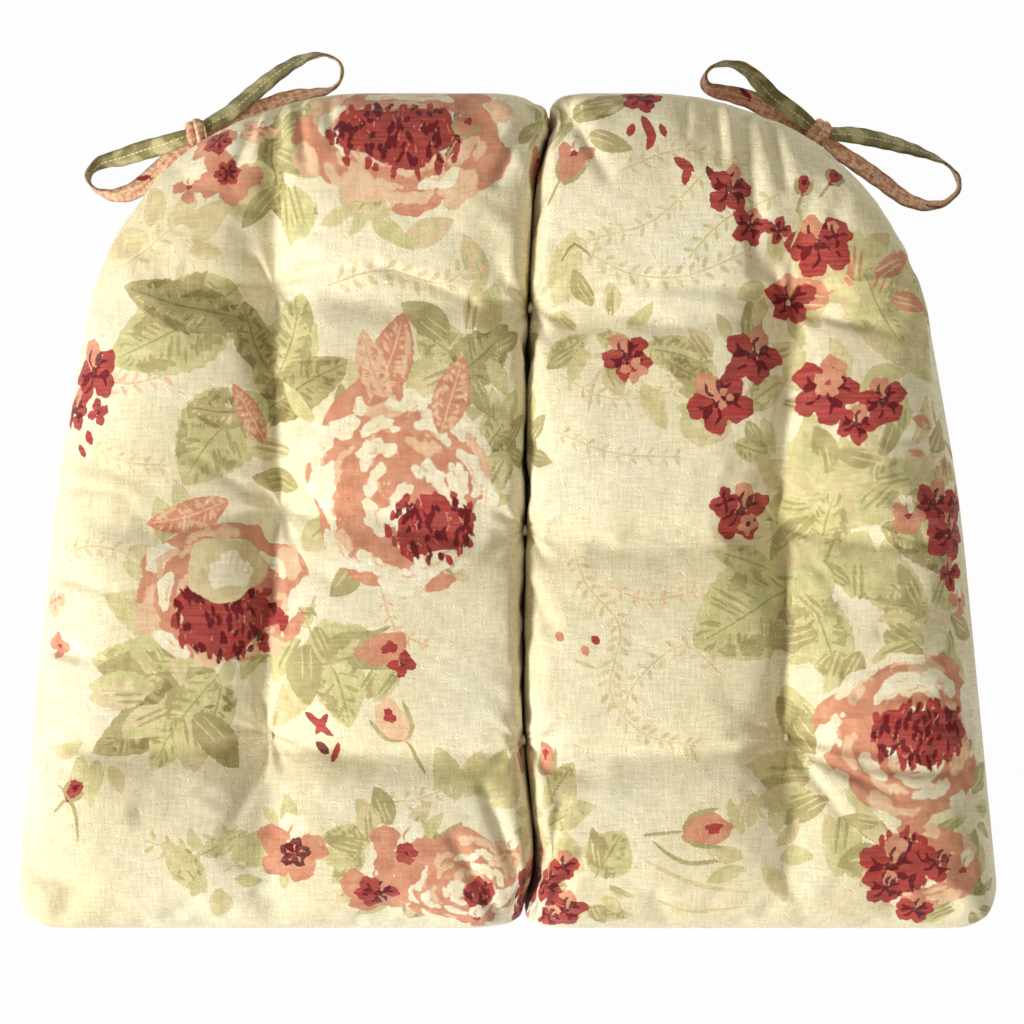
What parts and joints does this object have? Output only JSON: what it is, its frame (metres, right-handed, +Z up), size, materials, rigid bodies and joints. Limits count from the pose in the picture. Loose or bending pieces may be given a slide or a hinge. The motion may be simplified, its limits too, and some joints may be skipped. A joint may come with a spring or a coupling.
{
  "type": "chair seat pad",
  "caption": "Tufted dining-chair seat pad with a rounded back, a fold crease down the middle and a fabric tie bow at each back corner.",
  "frame": {"origin": "middle of the pad's underside, half way across its front corners and half way from front edge to back edge", "axes": "+X to the right seen from above with the ties at the top, +Y to the back edge where the ties are, +Z up out of the seat"},
  "size_m": [0.4452, 0.4022, 0.055],
  "materials": {
    "cover": "plain-weave linen-look cotton with a floral print in red, salmon, olive and tan on cream",
    "batting": "loose white polyester batting",
    "foam": "cut open-cell foam",
    "thread": "twisted cream thread",
    "tie": "folded strap of the printed cover cloth, olive one side and salmon the other"
  },
  "bodies": {
    "left_half": {"top_cover_left": "cover", "bottom_cover_left": "cover", "top_batting_left": "batting", "bottom_batting_left": "batting", "foam_core_left": "foam", "seam_thread_left": "thread", "tie_root_left": "tie", "tie_long_tail_left": "tie", "tie_short_tail_left": "tie", "tuft_left_front": "thread", "tuft_left_middle": "thread", "tuft_left_back": "thread", "fold_strip": "cover", "tuft_centre_front": "thread", "tuft_centre_middle": "thread", "tuft_centre_back": "thread"},
    "right_half": {"top_cover_right": "cover", "bottom_cover_right": "cover", "top_batting_right": "batting", "bottom_batting_right": "batting", "foam_core_right": "foam", "seam_thread_right": "thread", "tie_root_right": "tie", "tie_long_tail_right": "tie", "tie_short_tail_right": "tie", "tuft_right_front": "thread", "tuft_right_middle": "thread", "tuft_right_back": "thread"},
    "left_bow": {"tie_knot_left": "tie", "tie_long_loop_left": "tie", "tie_short_loop_left": "tie"},
    "right_bow": {"tie_knot_right": "tie", "tie_long_loop_right": "tie", "tie_short_loop_right": "tie"}
  },
  "joints": [
    {"name": "centre_fold", "type": "hinge", "parent": "left_half", "child": "right_half", "pos_m": [0.009, 0, 0], "axis": [0, 1, 0], "range_deg": [0, 170], "stiffness_Nm_per_rad": 1.5},
    {"name": "left_bow_swing", "type": "hinge", "parent": "left_half", "child": "left_bow", "pos_m": [-0.1389, 0.1681, 0.025], "axis": [0.9063, 0.4226, 0], "range_deg": [0, 95], "stiffness_Nm_per_rad": 0.005},
    {"name": "right_bow_swing", "type": "hinge", "parent": "right_half", "child": "right_bow", "pos_m": [0.1389, 0.1681, 0.025], "axis": [0.9063, -0.4226, 0], "range_deg": [0, 95], "stiffness_Nm_per_rad": 0.005}
  ]
}
